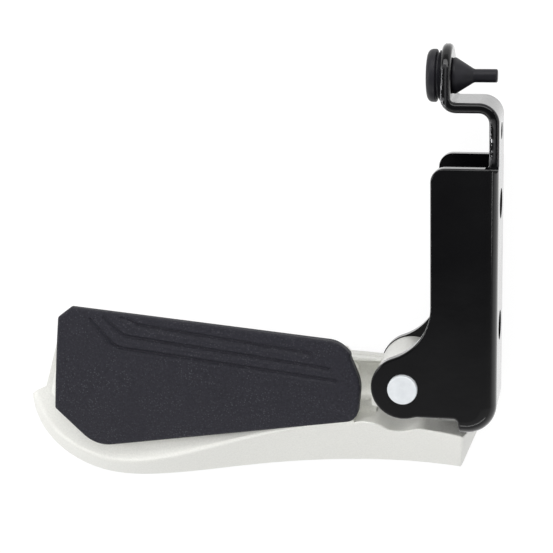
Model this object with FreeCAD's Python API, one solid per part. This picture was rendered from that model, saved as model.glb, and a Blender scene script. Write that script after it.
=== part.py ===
import FreeCAD, Part
import math
import os

os.makedirs("parts", exist_ok=True)

# Fold-out passenger footpeg, in millimetres.
# The origin lies midway between the two frame bolt holes, on the face that meets the frame.
# +X points into the frame, +Y runs along the bracket to the bumper, +Z is the hinge axis.
# The peg stands out along -X and its tread faces +Z.

Vector = FreeCAD.Vector

# Bracket: a pressed steel channel with a rolled lower lip
sheet = 4.0
channel_width = 35.0
cheek_depth = 26.0
cheek_top = 42.0
cheek_corner = 5.5
bend_radius = 6.0
lip_reach = 15.0
lip_corner = 12.0
lip_drop = 19.0
foot_rise = 1.0
foot_blend = 6.0
foot_fillet = 2.0
edge_round = 0.9
bolt_spacing = 50.0
bolt_hole = 12.0

# Arm: a strip that rises from the channel and cranks over to the bumper eye
arm_width = 25.0
arm_crank = 62.5
arm_bend = 4.0
arm_hole = 6.6
arm_hole_drop = 8.5
eye_offset = 23.0
eye_rise = 12.9
eye_hole = 11.0
relief_radius = 2.0
arm_round = 1.7

# Hinge
pin_reach = 37.0
pin_drop = 48.0
pin_diameter = 8.0
pin_head_diameter = 12.0
pin_head_height = 2.0
pin_tail = 6.0
lobe_radius = 13.0
lobe_blend = 23.0
running_play = 0.05
side_play = 0.3
washer_diameter = 16.0
washer_height = 1.6
split_diameter = 2.0

# Detent: a ball and spring in the far end of the knuckle
ball_diameter = 5.0
ball_out = 8.2
ball_side = -4.8
ball_proud = 0.8
ball_play = 0.1
track_play = 0.3
fold_angle = 81.0
spring_wire = 0.6
spring_turns = 5
spring_length = 10.0

# Peg casting, measured outward from the hinge axis and sideways from it
knuckle_radius = 12.6
knuckle_block = 13.2
knuckle_foot = 9.5
neck_top = -1.4
neck_bottom = -10.5
neck_side = 5.0
neck_flare = 1.5
valley_width = 17.0
valley_depth = 5.0
seam_width = 0.8
tongue_reach = 24.0
bay_dip = 2.4
lip_draft = 0.14
stop_gap = 0.1
crest_height = 12.5
crest_fall = 0.048
keel_height = -8.9
keel_rise_out = 0.072
keel_rise_side = 0.083
wall = 3.6
rib = 3.0
rib_side = -10.0
cell_count = 6
cell_start = 28.0
cell_pitch = 16.0
roof_height = 4.8
roof_fall = 0.022
back_draft = 0.42
casting_round = 1.2
tip_round = 6.0
ridge_round = 0.4

# Tread
seat_height = 8.5
tread_height = 4.6
tread_start = 18.0
tread_end = 148.5
crown_radius = 260.0
crown_side = -4.0
tread_edge = 1.2
seat_inset = 1.2
seat_play = 0.2
groove_floor = 1.0
groove_depth = 1.1
groove_flare = 1.0
nub_diameter = 6.0
nub_play = 0.1

# Bumper
bumper_diameter = 20.6
bumper_head = 5.8
bumper_shoulder = 14.0
bumper_stem = 5.2
bumper_cone = 7.0
bumper_tail = 9.0

half_width = channel_width / 2
inner_half = half_width - sheet
knuckle_half = inner_half - side_play
pin_radius = pin_diameter / 2
eye_height = arm_crank + eye_rise
arm_hole_height = arm_crank - arm_hole_drop
hinge_x = -pin_reach
hinge_y = -pin_drop
lip_bottom = hinge_y - lip_drop
foot_y = hinge_y - lobe_radius + foot_rise
ball_radius = ball_diameter / 2
ball_centre = -inner_half - ball_proud + ball_radius


def at(out, side, z=0.0):
    # A point given outward and sideways from the hinge axis
    return Vector(hinge_x - out, hinge_y + side, z)


def along(start, end, distance):
    # The point a given distance from start towards end
    step = end - start
    return start + step * (distance / step.Length)


def rounded_wire(corners):
    # A closed wire through corners, each (point, radius), with an arc at each radius
    edges = []
    count = len(corners)
    joins = []
    for i in range(count):
        point, radius = corners[i]
        before = corners[i - 1][0]
        after = corners[(i + 1) % count][0]
        if radius == 0:
            joins.append((point, point, point))
            continue
        half = (before - point).getAngle(after - point) / 2
        reach = radius / math.tan(half)
        first = along(point, before, reach)
        last = along(point, after, reach)
        middle = (first + last) * 0.5
        centre = along(point, middle, radius / math.sin(half))
        joins.append((first, along(centre, point, radius), last))
    for i in range(count):
        first, top, last = joins[i]
        if (last - first).Length > 1e-6:
            edges.append(Part.Arc(first, top, last).toShape())
        following = joins[(i + 1) % count][0]
        if (following - last).Length > 1e-6:
            edges.append(Part.makeLine(last, following))
    return Part.Wire(edges)


def prism(wire, bottom, top):
    # A solid between two heights over a wire drawn at height zero
    face = Part.Face(wire)
    face.translate(Vector(0, 0, bottom))
    return face.extrude(Vector(0, 0, top - bottom))


def rod(radius, start, end):
    # A round bar between two points
    step = end - start
    return Part.makeCylinder(radius, step.Length, start, step)


def edges_on(shape, test):
    # The edges whose ends and middle all pass a test
    found = []
    for edge in shape.Edges:
        points = [v.Point for v in edge.Vertexes]
        points.append(edge.valueAt((edge.FirstParameter + edge.LastParameter) / 2))
        if all(test(p) for p in points):
            found.append(edge)
    return found


def cheek_outline():
    # Outer side view of the channel, from the top of the web round to its rolled lip
    pin = Vector(hinge_x, hinge_y, 0)
    front = -cheek_depth
    reach = lobe_blend + lobe_radius
    blend_x = front - lobe_blend
    blend = Vector(blend_x, hinge_y + math.sqrt(reach**2 - (blend_x - hinge_x) ** 2), 0)
    low = foot_blend + lobe_radius
    foot = Vector(0, foot_y - foot_blend, 0)
    foot.x = hinge_x + math.sqrt(low**2 - (foot.y - hinge_y) ** 2)
    lobe_first = along(pin, blend, lobe_radius)
    lobe_last = along(pin, foot, lobe_radius)
    turn = Vector(front, blend.y, 0)
    turn_middle = along(blend, (turn + lobe_first) * 0.5, lobe_blend)
    foot_end = Vector(foot.x, foot_y, 0)
    foot_middle = along(foot, (lobe_last + foot_end) * 0.5, foot_blend)
    lip_end = Vector(-lip_reach, lip_bottom, 0)
    inner_end = Vector(-lip_reach - foot_fillet, foot_y, 0)
    inner_low = Vector(-lip_reach, foot_y - foot_fillet, 0)
    inner_centre = Vector(-lip_reach - foot_fillet, foot_y - foot_fillet, 0)
    inner_middle = along(inner_centre, (inner_end + inner_low) * 0.5, foot_fillet)
    lip_start = Vector(-lip_corner, lip_bottom, 0)
    web_low = Vector(0, lip_bottom + lip_corner, 0)
    lip_centre = Vector(-lip_corner, lip_bottom + lip_corner, 0)
    lip_middle = along(lip_centre, (lip_start + web_low) * 0.5, lip_corner)
    web_top = Vector(0, cheek_top, 0)
    corner_start = Vector(front + cheek_corner, cheek_top, 0)
    corner_end = Vector(front, cheek_top - cheek_corner, 0)
    corner_centre = Vector(front + cheek_corner, cheek_top - cheek_corner, 0)
    corner_middle = along(corner_centre, (corner_start + corner_end) * 0.5, cheek_corner)
    return Part.Wire(
        [
            Part.makeLine(web_top, corner_start),
            Part.Arc(corner_start, corner_middle, corner_end).toShape(),
            Part.makeLine(corner_end, turn),
            Part.Arc(turn, turn_middle, lobe_first).toShape(),
            Part.Arc(lobe_first, pin - Vector(lobe_radius, 0, 0), lobe_last).toShape(),
            Part.Arc(lobe_last, foot_middle, foot_end).toShape(),
            Part.makeLine(foot_end, inner_end),
            Part.Arc(inner_end, inner_middle, inner_low).toShape(),
            Part.makeLine(inner_low, lip_end),
            Part.makeLine(lip_end, lip_start),
            Part.Arc(lip_start, lip_middle, web_low).toShape(),
            Part.makeLine(web_low, web_top),
        ]
    )


def channel():
    # Drawn channel: rounded outside, then hollowed to an even sheet thickness
    outer = prism(cheek_outline(), -half_width, half_width)
    web_edges = edges_on(outer, lambda p: abs(abs(p.z) - half_width) < 1e-6 and p.x > -1e-6)
    outer = outer.makeFillet(bend_radius, web_edges)
    far_left = hinge_x - 2 * lobe_radius
    inside = rounded_wire(
        [
            (Vector(-sheet, cheek_top + sheet, 0), 0),
            (Vector(-sheet, lip_bottom + sheet, 0), lip_corner - sheet),
            (Vector(far_left, lip_bottom + sheet, 0), 0),
            (Vector(far_left, cheek_top + sheet, 0), 0),
        ]
    )
    hollow = prism(inside, -inner_half, inner_half)
    bends = edges_on(hollow, lambda p: abs(abs(p.z) - inner_half) < 1e-6 and p.x > -sheet - 1e-6)
    hollow = hollow.makeFillet(bend_radius - sheet, bends)
    return outer.cut(hollow)


def arm():
    # Cranked strip with a full round eye, its edges eased
    half = arm_width / 2
    top = eye_height + half
    outline = rounded_wire(
        [
            (Vector(0, cheek_top, 0), 0),
            (Vector(0, arm_crank + sheet, 0), arm_bend + sheet),
            (Vector(sheet - eye_offset, arm_crank + sheet, 0), arm_bend / 2),
            (Vector(sheet - eye_offset, top, 0), 0),
            (Vector(-eye_offset, top, 0), 0),
            (Vector(-eye_offset, arm_crank, 0), arm_bend / 2 + sheet),
            (Vector(-sheet, arm_crank, 0), arm_bend),
            (Vector(-sheet, cheek_top, 0), 0),
        ]
    )
    strip = prism(outline, -half, half)
    corner = Vector(-eye_offset - 1, eye_height, -arm_width)
    crown = Part.makeBox(sheet + 2, arm_width, arm_width * 2, corner)
    eye = rod(half, Vector(-eye_offset - 2, eye_height, 0), Vector(0, eye_height, 0))
    strip = strip.cut(crown.cut(eye))
    long_edges = edges_on(strip, lambda p: abs(abs(p.z) - half) < 1e-6 and p.y > cheek_top + 1e-6)
    return strip.makeFillet(arm_round, long_edges)


def track():
    # Path of the detent ball over the far cheek as the peg folds
    radius = math.hypot(ball_out, ball_side)
    start = math.degrees(math.atan2(ball_side, -ball_out))
    tube = ball_radius + track_play
    centre = Vector(hinge_x, hinge_y, ball_centre)
    ring = Part.makeTorus(radius, tube, centre, Vector(0, 0, 1), 0, 360, fold_angle)
    ring.rotate(centre, Vector(0, 0, 1), start - fold_angle)
    open_end = Part.makeSphere(tube, at(ball_out, ball_side, ball_centre))
    folded_end = open_end.copy()
    folded_end.rotate(centre, Vector(0, 0, 1), -fold_angle)
    return [ring, open_end, folded_end]


def mounting_bracket():
    body = channel().fuse(arm())
    notches = []
    for side in (-1, 1):
        z = side * (arm_width / 2 + relief_radius)
        notches.append(rod(relief_radius, Vector(-sheet - 1, cheek_top, z), Vector(1, cheek_top, z)))
    body = body.cut(notches).removeSplitter()
    rims = edges_on(
        body,
        lambda p: abs(abs(p.z) - half_width) < 1e-6
        and p.x < 0.1 - bend_radius
        and p.y > lip_bottom + 1,
    )
    body = body.makeFillet(edge_round, rims)
    holes = []
    for y, hole in (
        (-bolt_spacing / 2, bolt_hole),
        (bolt_spacing / 2, bolt_hole),
        (arm_hole_height, arm_hole),
    ):
        holes.append(rod(hole / 2, Vector(-sheet - 1, y, 0), Vector(1, y, 0)))
    eye_start = Vector(-eye_offset - 1, eye_height, 0)
    holes.append(rod(eye_hole / 2, eye_start, eye_start + Vector(sheet + 2, 0, 0)))
    holes.append(rod(pin_radius + running_play, at(0, 0, -half_width - 1), at(0, 0, half_width + 1)))
    return body.cut(holes + track())


def crest(out, side):
    # A point on the sloping plane of the casting's upper edge
    return at(out, side, crest_height - crest_fall * out)


def keel(out, side):
    # A point on the sloping plane of the casting's lower edge
    return at(out, side, keel_height + keel_rise_out * out + keel_rise_side * side)


def ring(front, corners):
    # A closed wire with a smooth front run and straight sides
    curve = Part.BSplineCurve()
    curve.interpolate(front)
    edges = [curve.toShape()]
    path = [front[-1]] + corners + [front[0]]
    for start, end in zip(path, path[1:]):
        edges.append(Part.makeLine(start, end))
    return Part.Wire(edges)


# Upper and lower edge of the sloping outer face, from the tip round to the tongue
upper_line = [
    (tread_end + 11, -12.5),
    (tread_end + 0.5, -32.5),
    (tread_end - 20.5, -42),
    (tread_end - 51.5, -38),
    (70, -29),
    (30, -19),
    (-tongue_reach, -lip_drop - 1.5),
]
lower_line = [
    (tread_end + 16.5, -17.5),
    (tread_end + 7, -39),
    (tread_end - 12.5, -51),
    (tread_end - 38.5, -53),
    (68, -47.8),
    (20, -43.8),
    (4 - tongue_reach, -lip_drop - 26.5),
]


def skirt():
    # Wedge under the tread: its outer face slopes out from the crest to the keel
    back = [(21, 15.2), (tread_end - 9.5, 25.8)]
    upper_back = [(-32, 0)] + back + [(tread_end - 3.5, 21.8), (tread_end + 6, -10)]
    lower_back = [(-38, 0)] + back + [(tread_end - 4.5, 19), (tread_end + 7.5, -12)]
    upper = ring([crest(*p) for p in upper_line], [crest(*p) for p in upper_back])
    lower = ring([keel(*p) for p in lower_line], [keel(*p) for p in lower_back])
    body = Part.makeLoft([upper, lower], True, True)
    top_edge = max(long_edges(body), key=lambda e: e.CenterOfMass.z)
    body = body.makeFillet(tip_round, casting_round, [top_edge])
    low_edge = min(long_edges(body), key=lambda e: e.CenterOfMass.z)
    tongue = hinge_x + 0.8 * tongue_reach
    corners = edges_on(body, lambda p: p.y < lip_bottom and p.x > tongue)
    corners = [e for e in corners if e.Length > wall]
    return body.makeFillet(casting_round, [low_edge] + corners)


def long_edges(shape):
    # The edges that run along the whole front of the peg
    return [e for e in shape.Edges if e.Length > tread_end]


def scoop():
    # Shallow dish in the ledge, falling from the crest to the edge of the tread
    high = [(54, -23.2), (75, -29), (97, -35.6), (120, -38.8), (140, -35)]
    low = [(52, -20.4), (75, -24), (97, -27.5), (120, -31), (140, -29)]
    drops = [0.1, 2.8, 3.0, 1.6, 0.1]
    rim = Part.BSplineCurve()
    rim.interpolate([crest(*p) for p in high])
    foot = Part.BSplineCurve()
    foot.interpolate([crest(*p) - Vector(0, 0, drop) for p, drop in zip(low, drops)])
    return Part.makeRuledSurface(rim.toShape(), foot.toShape()).extrude(Vector(0, 0, 12))


def undercut():
    # Sloping back face under the tread, so that it draws in towards the keel
    start = at(tread_start, 14.9, seat_height)
    end = at(tread_end - 9.5, 25.8, seat_height)
    run = (end - start).normalize()
    square = Vector(run.y, -run.x, 0)
    if square.y < 0:
        square = square * -1
    first = start - run * 40
    low = first + Vector(0, 0, -40)
    corners = [first, low - square * 40 * back_draft, low + square * 40, first + square * 40]
    return Part.Face(Part.makePolygon(corners + corners[:1])).extrude(run * 240)


def tread_outline():
    # Plan of the rubber tread, narrow at the hinge and cropped at the tip
    return rounded_wire(
        [
            (at(tread_end - 8.8, 27), 1.5),
            (at(tread_start + 9, 16.65), 11),
            (at(tread_start + 4, 11.9), 2),
            (at(tread_start + 4, 10.4), 2),
            (at(tread_start - 0.3, -0.5), 16),
            (at(tread_start + 1.4, -16.6), 6),
            (at(tread_end - 16.5, -34.2), 14),
            (at(tread_end + 0.4, -17.2), 1.5),
            (at(tread_end - 2.9, 22.5), 1.5),
        ]
    )


def plinth():
    # Raised seat under the outer end of the tread, with a sloping end wall
    seat = prism(tread_outline().makeOffset2D(-seat_inset), seat_height - 5, seat_height + 1)
    middle = (tread_start + tread_end) / 2
    keep = Part.makeBox(tread_end, 200, 100, at(middle + tread_end, -100, -50))
    inner = [(tread_end - 9, -16), (tread_end - 11, 20)]
    top = [(tread_end - 4.1, 21.5), (tread_end - 1.2, -16.8)] + inner
    foot = [(tread_end - 3.1, 22), (tread_end + 7, -11)] + inner
    upper = Part.makePolygon([at(*p, seat_height) for p in top + top[:1]])
    lower = Part.makePolygon([at(*p, seat_height - 5) for p in foot + foot[:1]])
    return seat.common(keep).fuse(Part.makeLoft([upper, lower], True, True))


def hinge_bay():
    # Space cleared round the knuckle; its lower wall is the face that stops on the bracket lip
    stop = lip_drop + stop_gap
    far = 3 * tongue_reach
    flow = [(tread_start + 3, 1.6), (14.4, 2.1), (10.9, 1), (7.6, -0.6 * bay_dip)]
    flow += [(3.5, -bay_dip), (-0.6, -0.75 * bay_dip), (-4.6, -0.1 * bay_dip), (-9, 0)]
    points = [at(out, side - stop) for out, side in flow]
    curve = Part.BSplineCurve()
    curve.interpolate(points)
    nose = [(16, far), (16, 14.5), (9, 11), (3, 2)]
    path = [points[-1], at(-far, -stop), at(-far, far)]
    path += [at(tread_start + out, side) for out, side in nose] + [points[0]]
    edges = [Part.makeLine(a, b) for a, b in zip(path, path[1:])]
    bay = prism(Part.Wire([curve.toShape()] + edges), -100, 100)
    return bay.fuse(lip_clearance(stop, far))


def lip_clearance(stop, far):
    # Wedge that opens the upper half of the stop wall towards the end of the tongue
    rings = []
    for z in (0, 3 * crest_height):
        fall = lip_draft * (far - 9) * z / crest_height
        points = [(-9, -stop), (-far, -stop - fall), (-far, 0), (-9, 0)]
        rings.append(Part.makePolygon([at(*p, z) for p in points + points[:1]]))
    return Part.makeLoft(rings, True, True)


def ridge(body):
    # The two long edges where the hinge bay runs out through the top of the tongue
    neck = hinge_x - tread_start
    stop = hinge_y - lip_drop - stop_gap
    edges = edges_on(body, lambda p: p.x > neck and abs(p.y - stop) < 2 * bay_dip and p.z > 0)
    return sorted(edges, key=lambda e: e.Length)[-2:]


def knuckle():
    # Hinge barrel with a squared foot, joined to the tread by a saddle-shaped neck
    barrel = rod(knuckle_radius, at(0, 0, -knuckle_half), at(0, 0, knuckle_half))
    block = prism(
        rounded_wire(
            [
                (at(0, -2), 0),
                (at(knuckle_block, -2), 1.5),
                (at(knuckle_block, -knuckle_foot), 1.5),
                (at(0, -knuckle_foot), 0),
            ]
        ),
        -knuckle_half,
        knuckle_half,
    )
    root = tread_start + 9
    front = -lip_drop + 0.5
    plan = [(0, neck_side), (root, neck_side + neck_flare), (root, front), (knuckle_block + 0.4, front)]
    plan += [(knuckle_block, -knuckle_foot), (0, -knuckle_foot), (0, neck_side)]
    outline = Part.makePolygon([at(*p) for p in plan])
    beam = prism(outline, neck_bottom, neck_top)
    radius = (valley_width**2 / 4 + valley_depth**2) / (2 * valley_depth)
    middle = neck_side - valley_width / 2
    height = neck_top - valley_depth + radius
    valley = rod(radius, at(0, middle, height), at(tread_start + 6, middle, height))
    back = neck_side - 0.7 * seam_width
    strip = [(0, back), (root, back + neck_flare), (root, 3 * neck_side), (0, 3 * neck_side), (0, back)]
    seam_height = (neck_top + neck_bottom) / 2
    seam = prism(Part.makePolygon([at(*p) for p in strip]), seam_height, seam_height + seam_width)
    return beam.cut([valley, seam]).fuse([barrel, block])


def slope_point(index, z):
    # A point on the inner skin of the outer face, at a given height
    start = crest(*upper_line[index])
    end = keel(*lower_line[index])
    share = (z - start.z) / (end.z - start.z)
    return start + (end - start) * share + Vector(0, 1.35 * wall, 0)


def slab(start, end, low, high):
    # Rounded upright core between two outward and two sideways limits
    corners = [(start, low), (end, low), (end, high), (start, high)]
    return prism(rounded_wire([(at(*p), 2.0) for p in corners]), -60, 60)


def cells():
    # Cored pockets under the tread, between cross ribs and one long rib
    rings = []
    for z in (roof_height, roof_height - 25):
        front = [slope_point(i, z) for i in range(2, 6)]
        rings.append(ring(front, [at(cell_start, 5, z), at(tread_end - 24.5, 13, z)]))
    core = Part.makeLoft(rings, True, True)
    reach = tread_end + 20
    below = [(0, -60), (reach, -60), (reach, roof_height - roof_fall * reach), (0, roof_height)]
    section = Part.makePolygon([at(out, -80, z) for out, z in below + below[:1]])
    core = core.common(Part.Face(section).extrude(Vector(0, 160, 0)))
    found = []
    for k in range(cell_count):
        start = cell_start + k * cell_pitch
        for low, high in ((-70, rib_side - rib / 2), (rib_side + rib / 2, 40)):
            found.append(core.common(slab(start + rib / 2, start + cell_pitch - rib / 2, low, high)))
    return found


def tongue_cells():
    # Two cored pockets inside the wedge of the stop tongue
    back = -lip_drop - bay_dip - wall
    rings = []
    for z in (-1.0, -20.0):
        points = [slope_point(5, z), slope_point(6, z), at(4 - tongue_reach, back, z), at(22, back, z)]
        rings.append(Part.makePolygon(points + points[:1]))
    core = Part.makeLoft(rings, True, True)
    first = 8 - tongue_reach
    span = (20 - first - rib) / 2
    found = []
    for start in (first, first + span + rib):
        found.append(core.common(slab(start, start + span, -70, -20)))
    return found


def nub_places():
    # Middle of the cells that take a pull-through nub of the tread
    places = []
    for index, side in ((0, -2), (4, 2), (1, -18), (4, -22)):
        places.append((cell_start + (index + 0.5) * cell_pitch, side))
    return places


def footpeg_casting():
    body = skirt().cut(scoop()).fuse(plinth())
    pocket = prism(tread_outline().makeOffset2D(seat_play), seat_height, 60)
    body = body.cut([pocket, undercut(), hinge_bay()])
    body = body.makeFillet(ridge_round, ridge(body)).fuse(knuckle())
    holes = cells() + tongue_cells()
    holes.append(rod(pin_radius + running_play, at(0, 0, -40), at(0, 0, 40)))
    bore_end = at(ball_out, ball_side, ball_centre + ball_radius + spring_length)
    holes.append(rod(ball_radius + ball_play, at(ball_out, ball_side, -40), bore_end))
    for out, side in nub_places():
        holes.append(rod(nub_diameter / 2 + nub_play, at(out, side, -20), at(out, side, 20)))
    return body.cut(holes)


def crown_level(side):
    # Height of the tread's crown at a sideways distance
    drop = crown_radius - math.sqrt(crown_radius**2 - (side - crown_side) ** 2)
    return seat_height + tread_height - drop


def groove(start, corner, end, radius):
    # One tread groove: two straight runs joined by an arc, with sloping sides.
    # Its floor is flat and follows the crown, and it is shallower at both ends.
    places = []
    for (out, side), share in ((start, 0.4), (corner, 1), (end, 0.7)):
        places.append(at(out, side, crown_level(side) - share * groove_depth))
    a, b, c = places
    half = (a - b).getAngle(c - b) / 2
    first = along(b, a, radius / math.tan(half))
    last = along(b, c, radius / math.tan(half))
    centre = along(b, (first + last) * 0.5, radius / math.sin(half))
    bend = Part.Arc(first, along(centre, b, radius), last).toShape()
    path = Part.Wire([Part.makeLine(a, first), bend, Part.makeLine(last, c)])
    rings = []
    for rise in (0, 2 * groove_depth):
        outline = path.makeOffset2D(groove_floor / 2 + groove_flare * rise)
        outline.translate(Vector(0, 0, rise))
        rings.append(outline)
    return Part.makeLoft(rings, True, True)


def tread_rubber():
    top = seat_height + tread_height
    axis = top - crown_radius
    crown = rod(crown_radius, at(-20, crown_side, axis), at(tread_end + 20, crown_side, axis))
    body = prism(tread_outline(), seat_height, top + 1).common(crown)
    rim = edges_on(body, lambda p: p.z > seat_height + 1)
    rim = [e for e in rim if e.Length > 0.01]
    body = body.makeFillet(tread_edge, rim)
    cuts = []
    for start, corner, end, radius in (
        ((tread_end - 17.4, 22.3), (tread_end - 27.2, 10.4), (28.3, 0.2), 10),
        ((tread_end - 23.2, 23.2), (tread_end - 31, 15.4), (31.1, 5.2), 7),
        ((tread_end - 31, 23.6), (tread_end - 38.5, 20.3), (38.8, 11.5), 8),
    ):
        cuts.append(groove(start, corner, end, radius))
    body = body.cut(cuts)
    nubs = []
    for out, side in nub_places():
        roof = roof_height - roof_fall * out - 0.3
        radius = nub_diameter / 2
        nubs.append(rod(radius, at(out, side, roof - 0.5), at(out, side, seat_height)))
        head = Part.makeCone(radius - 0.8, radius + 1.2, 3, at(out, side, roof - 3))
        nubs.append(head)
    return body.fuse(nubs)


def turned(profile, origin, axis):
    # A turned piece from corners given as distance along the axis, radius and corner round
    side = Vector(0, 0, 1) if abs(axis.z) < 0.5 else Vector(1, 0, 0)
    corners = [(origin + axis * a + side * r, bend) for a, r, bend in profile]
    return Part.Face(rounded_wire(corners)).revolve(origin, axis, 360)


def hinge_pin():
    head = pin_head_diameter / 2
    tail = half_width + pin_tail
    profile = [
        (half_width + pin_head_height, 0, 0),
        (half_width + pin_head_height, head, 0.5),
        (half_width, head, 0),
        (half_width, pin_radius, 0),
        (-tail, pin_radius, 1),
        (-tail, 0, 0),
    ]
    body = turned(profile, at(0, 0), Vector(0, 0, 1))
    cross = split_height()
    return body.cut(rod(split_diameter / 2 + 0.1, at(20, 0, cross), at(-20, 0, cross)))


def split_height():
    # Height of the cross hole, just clear of the washer
    return -half_width - washer_height - split_diameter / 2 - 0.3


def pin_washer():
    outer = washer_diameter / 2
    inner = pin_radius + 0.2
    low = -half_width - washer_height
    profile = [
        (low, inner, 0),
        (low, outer, 0.4),
        (-half_width, outer, 0),
        (-half_width, inner, 0),
    ]
    return turned(profile, at(0, 0), Vector(0, 0, 1))


def split_pin():
    # Folded wire through the pin: a round eye on one side, two legs bent back on the other
    z = split_height()
    wire = split_diameter / 2
    start = pin_radius + 1.0
    eye = Part.makeTorus(1.6, wire * 0.9, at(-start - 1.6, 0, z), Vector(0, 0, 1))
    body = eye.fuse(rod(wire, at(-start, 0, z), at(start, 0, z)))
    for side in (-1, 1):
        bend = at(start, side * wire * 0.2, z)
        tip = at(start + 1.2, side * 4.2, z)
        leg = rod(wire * 0.75, bend, tip)
        body = body.fuse([leg, Part.makeSphere(wire * 0.75, tip)])
    return body


def detent_ball():
    return Part.makeSphere(ball_radius, at(ball_out, ball_side, ball_centre))


def detent_spring():
    # Coil between the ball and the end of its bore, its wire six-sided to keep the faces few
    low = ball_centre + ball_radius * 0.8
    high = ball_centre + ball_radius + spring_length - spring_wire
    radius = ball_radius - spring_wire
    coil = Part.makeHelix((high - low) / spring_turns, high - low, radius)
    section = []
    for k in range(6):
        turn = math.radians(60 * k + 30)
        rim = Vector(math.cos(turn), 0, math.sin(turn)) * (spring_wire / 2)
        section.append(Vector(radius, 0, 0) + rim)
    body = Part.Wire(coil).makePipeShell([Part.makePolygon(section + section[:1])], True, True)
    body.translate(at(ball_out, ball_side, low))
    return body


def stop_bumper():
    # Moulded bumper: round head, groove that grips the eye, and a pull-through cone and stem
    neck = eye_hole / 2 - running_play
    head = bumper_diameter / 2
    shoulder = bumper_shoulder / 2
    stem = bumper_stem / 2
    cone_end = sheet + 1.2 + bumper_cone
    profile = [
        (-bumper_head, 0, 0),
        (-bumper_head, head, 2.2),
        (-2.2, head, 0.6),
        (-1.8, head - 1.4, 0),
        (-1.2, head - 1.4, 0),
        (-0.9, head - 0.5, 0),
        (0, head - 1, 0),
        (0, neck, 0),
        (sheet, neck, 0),
        (sheet, shoulder, 0.5),
        (sheet + 1.2, shoulder, 0.8),
        (cone_end, stem, 2),
        (cone_end + bumper_tail, stem, 0.6),
        (cone_end + bumper_tail, 0, 0),
    ]
    return turned(profile, Vector(-eye_offset, eye_height, 0), Vector(1, 0, 0))


mounting_bracket().exportStep("parts/mounting_bracket.step")
footpeg_casting().exportStep("parts/footpeg_casting.step")
tread_rubber().exportStep("parts/tread_rubber.step")
hinge_pin().exportStep("parts/hinge_pin.step")
pin_washer().exportStep("parts/pin_washer.step")
split_pin().exportStep("parts/split_pin.step")
detent_ball().exportStep("parts/detent_ball.step")
detent_spring().exportStep("parts/detent_spring.step")
stop_bumper().exportStep("parts/stop_bumper.step")
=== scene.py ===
import math

import bpy
from mathutils import Matrix, Vector


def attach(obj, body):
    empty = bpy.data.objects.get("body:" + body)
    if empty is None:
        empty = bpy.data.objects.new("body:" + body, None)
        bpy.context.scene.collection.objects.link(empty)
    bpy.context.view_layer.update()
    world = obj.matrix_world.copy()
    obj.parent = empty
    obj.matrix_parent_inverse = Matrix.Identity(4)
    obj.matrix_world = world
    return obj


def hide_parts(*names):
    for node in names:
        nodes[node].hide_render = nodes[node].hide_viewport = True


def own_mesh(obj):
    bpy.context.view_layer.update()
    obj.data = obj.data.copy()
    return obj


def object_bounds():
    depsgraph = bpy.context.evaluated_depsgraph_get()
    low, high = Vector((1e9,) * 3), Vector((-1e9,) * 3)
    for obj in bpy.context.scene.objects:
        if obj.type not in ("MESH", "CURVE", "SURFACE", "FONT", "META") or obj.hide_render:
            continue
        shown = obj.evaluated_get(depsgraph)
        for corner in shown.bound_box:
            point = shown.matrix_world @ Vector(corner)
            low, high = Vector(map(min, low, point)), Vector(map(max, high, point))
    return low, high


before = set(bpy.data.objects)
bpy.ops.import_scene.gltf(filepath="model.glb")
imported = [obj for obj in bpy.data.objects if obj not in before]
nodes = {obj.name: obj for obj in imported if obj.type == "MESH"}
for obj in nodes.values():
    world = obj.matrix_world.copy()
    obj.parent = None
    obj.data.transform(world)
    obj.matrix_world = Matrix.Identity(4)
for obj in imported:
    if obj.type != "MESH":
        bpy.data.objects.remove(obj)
cad_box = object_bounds()


# Mounting bracket: a channel pressed from 4 mm steel with a cranked arm on top.
# It is dipped in deep gloss black paint with a faint orange peel, thin on the arm's torn edge,
# where the sheared steel glints through. Two bolts through its web hold it to the frame.
def dress(node, material):
    # Gives a CAD node its finish in place of the plain one that it came with
    mesh = nodes[node].data
    mesh.materials.clear()
    mesh.materials.append(material)


def new_material(name):
    # An empty node material with its shader and output joined
    material = bpy.data.materials.new(name)
    material.use_nodes = True
    tree = material.node_tree
    return material, tree, tree.nodes["Principled BSDF"]


def add_range(tree, source, least, most, start=0.3, end=0.7):
    # A value that runs from least to most as the source goes from start to end
    spread = tree.nodes.new("ShaderNodeMapRange")
    spread.inputs["From Min"].default_value = start
    spread.inputs["From Max"].default_value = end
    spread.inputs["To Min"].default_value = least
    spread.inputs["To Max"].default_value = most
    tree.links.new(source, spread.inputs["Value"])
    return spread.outputs["Result"]


def add_ramp(tree, source, dark, pale, start=0.3, end=0.7):
    # A colour that runs from dark to pale as the source goes from start to end
    ramp = tree.nodes.new("ShaderNodeValToRGB")
    ramp.color_ramp.elements[0].position = start
    ramp.color_ramp.elements[0].color = (*dark, 1)
    ramp.color_ramp.elements[1].position = end
    ramp.color_ramp.elements[1].color = (*pale, 1)
    tree.links.new(source, ramp.inputs["Fac"])
    return ramp.outputs["Color"]


def add_math(tree, operation, *sources):
    # One value worked out from one or two others
    node = tree.nodes.new("ShaderNodeMath")
    node.operation = operation
    for slot, source in enumerate(sources):
        tree.links.new(source, node.inputs[slot])
    return node.outputs[0]


def add_mix(tree, mask, under, over):
    # A colour with a plain one laid over it where the mask is 1
    mix = tree.nodes.new("ShaderNodeMix")
    mix.data_type = "RGBA"
    mix.inputs["B"].default_value = (*over, 1)
    tree.links.new(mask, mix.inputs["Factor"])
    tree.links.new(under, mix.inputs["A"])
    return mix.outputs["Result"]


def add_noise(tree, position, scale, detail):
    # Cloudy noise, with its scale in blobs to the metre
    noise = tree.nodes.new("ShaderNodeTexNoise")
    noise.inputs["Scale"].default_value = scale
    noise.inputs["Detail"].default_value = detail
    tree.links.new(position, noise.inputs["Vector"])
    return noise.outputs["Fac"]


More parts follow.
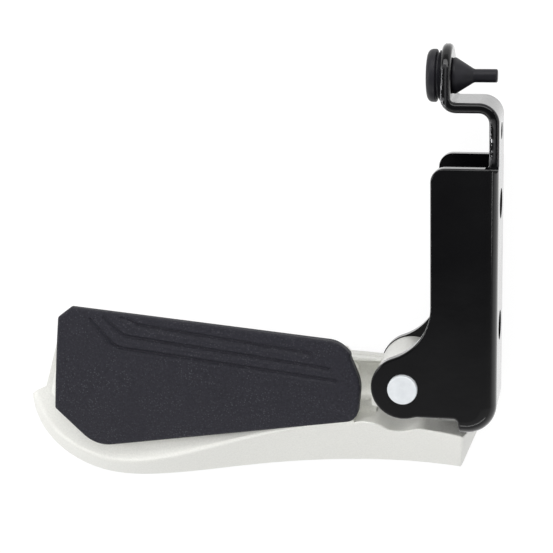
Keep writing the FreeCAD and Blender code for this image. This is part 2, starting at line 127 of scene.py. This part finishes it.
def add_bump(tree, shader, source, height, strength):
    # A bump of a given height in metres on the shader's normal
    bump = tree.nodes.new("ShaderNodeBump")
    bump.inputs["Distance"].default_value = height
    bump.inputs["Strength"].default_value = strength
    tree.links.new(source, bump.inputs["Height"])
    tree.links.new(bump.outputs["Normal"], shader.inputs["Normal"])
    return bump


def grain_group():
    # Noise in two sizes on object coordinates: a fine grain with its specks, and a broad mottle
    group = bpy.data.node_groups.new("surface_grain", "ShaderNodeTree")
    for name, value in (("Grain Scale", 2000.0), ("Mottle Scale", 60.0), ("Grain Detail", 3.0)):
        socket = group.interface.new_socket(name, in_out="INPUT", socket_type="NodeSocketFloat")
        socket.default_value = value
    for name in ("Grain", "Mottle", "Speck"):
        group.interface.new_socket(name, in_out="OUTPUT", socket_type="NodeSocketFloat")
    enter = group.nodes.new("NodeGroupInput")
    leave = group.nodes.new("NodeGroupOutput")
    position = group.nodes.new("ShaderNodeTexCoord").outputs["Object"]
    grain = group.nodes.new("ShaderNodeTexNoise")
    grain.inputs["Roughness"].default_value = 0.6
    mottle = group.nodes.new("ShaderNodeTexNoise")
    mottle.inputs["Detail"].default_value = 4.0
    cells = group.nodes.new("ShaderNodeTexVoronoi")
    speck_radius = 0.35
    link = group.links.new
    for texture in (grain, mottle, cells):
        link(position, texture.inputs["Vector"])
    link(enter.outputs["Grain Scale"], grain.inputs["Scale"])
    link(enter.outputs["Grain Detail"], grain.inputs["Detail"])
    link(enter.outputs["Grain Scale"], cells.inputs["Scale"])
    link(enter.outputs["Mottle Scale"], mottle.inputs["Scale"])
    speck = add_range(group, cells.outputs["Distance"], 1, 0, start=0, end=speck_radius)
    link(grain.outputs["Fac"], leave.inputs["Grain"])
    link(mottle.outputs["Fac"], leave.inputs["Mottle"])
    link(speck, leave.inputs["Speck"])
    return group


surface_grain = grain_group()


def add_grain(tree, grain_scale, mottle_scale, detail):
    # Places the grain group in a material with its own sizes, in blobs to the metre
    node = tree.nodes.new("ShaderNodeGroup")
    node.node_tree = surface_grain
    node.inputs["Grain Scale"].default_value = grain_scale
    node.inputs["Mottle Scale"].default_value = mottle_scale
    node.inputs["Grain Detail"].default_value = detail
    return node


black_paint, tree, shader = new_material("black_paint")
shader.inputs["Specular IOR Level"].default_value = 0.1
shader.inputs["Coat Weight"].default_value = 1.0
shader.inputs["Coat Roughness"].default_value = 0.09
shader.inputs["Coat IOR"].default_value = 1.35

# The torn edge of the arm: each pair of places, in metres, goes from clean paint to torn steel
side_edge = (0.0106, 0.0118)
arm_foot = (0.043, 0.046)
crank_bend = (0.061, 0.058)
inner_half = (-0.0012, -0.0024)
eye_inner_half = (-0.0202, -0.0212)
position = tree.nodes.new("ShaderNodeTexCoord").outputs["Object"]
split = tree.nodes.new("ShaderNodeSeparateXYZ")
tree.links.new(position, split.inputs["Vector"])
along_x, along_y, along_z = split.outputs
on_edge = add_range(tree, add_math(tree, "ABSOLUTE", along_z), 0, 1, *side_edge)
on_arm = add_range(tree, along_y, 0, 1, *arm_foot)
below_crank = add_range(tree, along_y, 0, 1, *crank_bend)
inside = add_range(tree, along_x, 0, 1, *inner_half)
inside_eye = add_range(tree, along_x, 0, 1, *eye_inner_half)
torn_half = add_math(tree, "MAXIMUM", add_math(tree, "MULTIPLY", inside, below_crank), inside_eye)
torn = add_math(tree, "MULTIPLY", add_math(tree, "MULTIPLY", on_edge, on_arm), torn_half)

# The tear is drawn out along the arm and lies on top of the orange peel
drawn_out = tree.nodes.new("ShaderNodeMapping")
drawn_out.inputs["Scale"].default_value = (1, 0.4, 1)
tree.links.new(position, drawn_out.inputs["Vector"])
ripple = add_noise(tree, position, scale=35, detail=4)
tear = add_noise(tree, drawn_out.outputs["Vector"], scale=450, detail=1)
peel = add_bump(tree, shader, ripple, height=0.0012, strength=0.1)
ragged = add_bump(tree, shader, tear, height=0.0016, strength=1.0)
tree.links.new(torn, ragged.inputs["Strength"])
tree.links.new(peel.outputs["Normal"], ragged.inputs["Normal"])
tree.links.new(ragged.outputs["Normal"], shader.inputs["Coat Normal"])

grain = add_grain(tree, grain_scale=420, mottle_scale=35, detail=2)
paint = add_ramp(tree, grain.outputs["Mottle"], dark=(0.003, 0.003, 0.0035), pale=(0.005, 0.005, 0.0055))
tree.links.new(add_mix(tree, torn, paint, over=(0.14, 0.14, 0.145)), shader.inputs["Base Color"])
tree.links.new(torn, shader.inputs["Metallic"])
gloss = add_range(tree, grain.outputs["Mottle"], 0.2, 0.28)
polish = add_range(tree, torn, 1, 0.3, start=0, end=1)
tree.links.new(add_math(tree, "MULTIPLY", gloss, polish), shader.inputs["Roughness"])
dress("mounting_bracket", black_paint)


# Peg casting: one alloy casting with the hinge knuckle, the stop tongue and the tread seat.
# Its fine cast skin is sprayed with satin silver paint, so it is pale but stays grainy.
# A pin through the knuckle hangs it in the bracket.
silver_casting, tree, shader = new_material("silver_casting")
grain = add_grain(tree, grain_scale=1500, mottle_scale=45, detail=4)
silver = add_ramp(
    tree, grain.outputs["Grain"], dark=(0.78, 0.78, 0.74), pale=(0.9, 0.9, 0.855), start=0.25, end=0.75
)
tree.links.new(silver, shader.inputs["Base Color"])
shader.inputs["Metallic"].default_value = 0.1
tree.links.new(add_range(tree, grain.outputs["Mottle"], 0.28, 0.34), shader.inputs["Roughness"])
add_bump(tree, shader, grain.outputs["Grain"], height=0.00012, strength=0.5)
dress("footpeg_casting", silver_casting)


# Detent: a bare steel ball and its coil spring, held in a bore in the far end of the knuckle.
# The spring presses the ball into the track in the far cheek, and a copy of it with its own mesh
# takes its place and is carried with the peg.
bearing_steel, tree, shader = new_material("bearing_steel")
grain = add_grain(tree, grain_scale=3000, mottle_scale=200, detail=2)
steel = add_ramp(tree, grain.outputs["Mottle"], dark=(0.5, 0.51, 0.53), pale=(0.6, 0.61, 0.63))
tree.links.new(steel, shader.inputs["Base Color"])
shader.inputs["Metallic"].default_value = 1.0
tree.links.new(add_range(tree, grain.outputs["Grain"], 0.16, 0.26), shader.inputs["Roughness"])
add_bump(tree, shader, grain.outputs["Grain"], height=0.00002, strength=0.2)
dress("detent_ball", bearing_steel)
dress("detent_spring", bearing_steel)
coil = bpy.data.objects.new("closing_spring", nodes["detent_spring"].data.copy())
bpy.context.collection.objects.link(coil)
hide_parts("detent_spring")
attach(coil, "peg")
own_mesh(coil)


# Tread: a charcoal rubber pad moulded with three long grooves and a fine leathery grain.
# Pale specks in patches are painted on it as painted glints of light on the grain's tips.
# Four nubs under it pull through holes in the casting's seat.
tread_rubber, tree, shader = new_material("tread_rubber")
grain = add_grain(tree, grain_scale=1100, mottle_scale=40, detail=4)
# Painted highlight: pale specks mixed into the base colour stand in for glints of light on the grain's
# tips, in random patches
pebble_glint_grain = add_grain(tree, grain_scale=1000, mottle_scale=90, detail=2)
patches = add_range(tree, pebble_glint_grain.outputs["Mottle"], 0.05, 0.7)
painted_glint_specks = add_math(tree, "MULTIPLY", pebble_glint_grain.outputs["Speck"], patches)
charcoal = add_ramp(
    tree,
    grain.outputs["Grain"],
    dark=(0.011, 0.0106, 0.016),
    pale=(0.021, 0.0206, 0.029),
    start=0.32,
    end=0.68,
)
tree.links.new(add_mix(tree, painted_glint_specks, charcoal, over=(0.11, 0.11, 0.125)), shader.inputs["Base Color"])
tree.links.new(add_range(tree, grain.outputs["Mottle"], 0.5, 0.6), shader.inputs["Roughness"])
shader.inputs["Specular IOR Level"].default_value = 0.3
add_bump(tree, shader, grain.outputs["Grain"], height=0.0004, strength=0.9)
dress("tread_rubber", tread_rubber)


# Hinge pin, washer and split pin: bright zinc-plated steel, the pin's head turned flat.
# The washer and the split pin keep the pin in from the far side.
plated_steel, tree, shader = new_material("plated_steel")
grain = add_grain(tree, grain_scale=1800, mottle_scale=260, detail=3)
zinc = add_ramp(tree, grain.outputs["Mottle"], dark=(0.7, 0.73, 0.755), pale=(0.79, 0.82, 0.845))
tree.links.new(zinc, shader.inputs["Base Color"])
shader.inputs["Metallic"].default_value = 0.15
tree.links.new(add_range(tree, grain.outputs["Mottle"], 0.35, 0.48), shader.inputs["Roughness"])
add_bump(tree, shader, grain.outputs["Grain"], height=0.00005, strength=0.25)
for node in ("hinge_pin", "pin_washer", "split_pin"):
    dress(node, plated_steel)


# Stop bumper: a satin black rubber button pulled through the eye of the arm.
# Its long stem is what it was pulled in by.
bumper_rubber, tree, shader = new_material("bumper_rubber")
grain = add_grain(tree, grain_scale=2200, mottle_scale=120, detail=3)
rubber = add_ramp(tree, grain.outputs["Mottle"], dark=(0.009, 0.009, 0.0115), pale=(0.017, 0.0165, 0.021))
tree.links.new(rubber, shader.inputs["Base Color"])
tree.links.new(add_range(tree, grain.outputs["Mottle"], 0.4, 0.52), shader.inputs["Roughness"])
shader.inputs["Specular IOR Level"].default_value = 0.3
add_bump(tree, shader, grain.outputs["Grain"], height=0.0001, strength=0.3)
dress("stop_bumper", bumper_rubber)


# Studio floor: a wide sheet that touches the pin's tail, the lowest point of the part.
# The camera and mirrors see it as white paper with a soft shadow, and to all other light
# it is a dull grey, so that it throws little back up.
floor_size = 8
floor_height = cad_box[0][2]
bpy.ops.mesh.primitive_plane_add(size=floor_size, location=(0, 0, floor_height))
floor = bpy.context.object
floor.name = "floor"
white_floor, tree, shader = new_material("white_floor")
shader.inputs["Base Color"].default_value = (0.25, 0.25, 0.25, 1)
shader.inputs["Roughness"].default_value = 1.0
shader.inputs["Specular IOR Level"].default_value = 0.0
glow = tree.nodes.new("ShaderNodeEmission")
glow.inputs["Strength"].default_value = 0.9
shade = tree.nodes.new("ShaderNodeBsdfDiffuse")
shade.inputs["Color"].default_value = (0.16, 0.16, 0.16, 1)
paper = tree.nodes.new("ShaderNodeAddShader")
floor_rays = tree.nodes.new("ShaderNodeLightPath")
seen = floor_rays.outputs["Is Camera Ray"]
for kind in ("Is Glossy Ray", "Is Transmission Ray"):
    seen = add_math(tree, "MAXIMUM", seen, floor_rays.outputs[kind])
blend = tree.nodes.new("ShaderNodeMixShader")
tree.links.new(glow.outputs[0], paper.inputs[0])
tree.links.new(shade.outputs[0], paper.inputs[1])
tree.links.new(seen, blend.inputs[0])
tree.links.new(shader.outputs[0], blend.inputs[1])
tree.links.new(paper.outputs[0], blend.inputs[2])
tree.links.new(blend.outputs[0], tree.nodes["Material Output"].inputs["Surface"])
floor.data.materials.append(white_floor)


# Surround: a sky that is pale low down and dark overhead, as the gloss paint shows it,
# and paler again on the side that the casting's skirt faces. The camera sees plain white.
world = bpy.data.worlds.new("surround")
bpy.context.scene.world = world
world.use_nodes = True
tree = world.node_tree
heading = tree.nodes.new("ShaderNodeSeparateXYZ")
tree.links.new(tree.nodes.new("ShaderNodeTexCoord").outputs["Generated"], heading.inputs["Vector"])
sky = tree.nodes.new("ShaderNodeValToRGB")
sky_stops = sky.color_ramp.elements
sky_stops[1].position = 0.9
for height in (0.14, 0.28):
    sky_stops.new(height)
for stop, level in zip(sky_stops, (0.6, 0.35, 0.09, 0.05)):
    stop.color = (level, level, level, 1)
tree.links.new(heading.outputs["Z"], sky.inputs["Fac"])
skirt_side = add_range(tree, heading.outputs["Y"], 0, 0.5, start=-0.26, end=-0.38)
whole_sky = tree.nodes.new("ShaderNodeVectorMath")
whole_sky.operation = "ADD"
tree.links.new(sky.outputs["Color"], whole_sky.inputs[0])
tree.links.new(skirt_side, whole_sky.inputs[1])
sky_rays = tree.nodes.new("ShaderNodeLightPath")
backdrop = add_mix(tree, sky_rays.outputs["Is Camera Ray"], whole_sky.outputs["Vector"], over=(1, 1, 1))
tree.links.new(backdrop, tree.nodes["Background"].inputs["Color"])


# Lamps: soft cards over, behind and beside the peg, all turned to its middle.
# The card overhead is kept out of reflections, so that the gloss paint stays deep black.
# Narrow strips draw the lines on the crest and the rims.
middle = Vector((-0.09, -0.03, 0))
for name, spot, width, height, power, mirrored in (
    ("top_card", (-0.15, 0.42, 1.35), 2.0, 0.8, 10.8, False),
    ("crest_strip", (-0.2, -1.05, 0.8), 2.4, 0.11, 4.3, True),
    ("upper_card", (0.1, 1.1, 0.7), 1.8, 0.5, 12.0, True),
    ("left_card", (-1.0, 0.2, 0.55), 0.35, 0.5, 1.8, True),
    ("left_strip", (-0.95, -0.03, 0.36), 0.8, 0.06, 1.5, True),
    ("right_strip", (0.85, 0.15, 0.3), 0.8, 0.06, 1.0, True),
):
    lamp = bpy.data.lights.new(name, "AREA")
    lamp.shape = "RECTANGLE"
    lamp.size = width
    lamp.size_y = height
    lamp.energy = power
    holder = bpy.data.objects.new(name, lamp)
    holder.location = spot
    holder.visible_glossy = mirrored
    holder.rotation_euler = (middle - Vector(spot)).to_track_quat("-Z", "Y").to_euler()
    bpy.context.collection.objects.link(holder)


# Camera: looks down on the tread nearly along the hinge pin, from a little to the right and
# towards the bumper. Its lens gives the photograph's scale at the pin's middle, and it is
# rolled slightly about its own axis.
photo_width_pixels = 553
pixels_per_metre = 2440
distance = 0.7
aim = Vector((-0.0912, -0.0079, 0))
lean_right = math.radians(12.2)
lean_up = math.radians(15.64)
roll = math.radians(-1.43)
toward = Vector((math.tan(lean_right), math.tan(lean_up), 1)).normalized()
right = Vector((0, 1, 0)).cross(toward).normalized()
turn = Matrix((right, toward.cross(right), toward)).transposed().to_4x4()
lens = bpy.data.cameras.new("camera")
lens.sensor_width = 36
lens.lens = pixels_per_metre * distance / photo_width_pixels * lens.sensor_width
camera = bpy.data.objects.new("camera", lens)
camera.matrix_world = Matrix.Translation(aim + toward * distance) @ turn @ Matrix.Rotation(roll, 4, "Z")
bpy.context.collection.objects.link(camera)
bpy.context.scene.camera = camera
bpy.context.scene.view_settings.view_transform = "Standard"
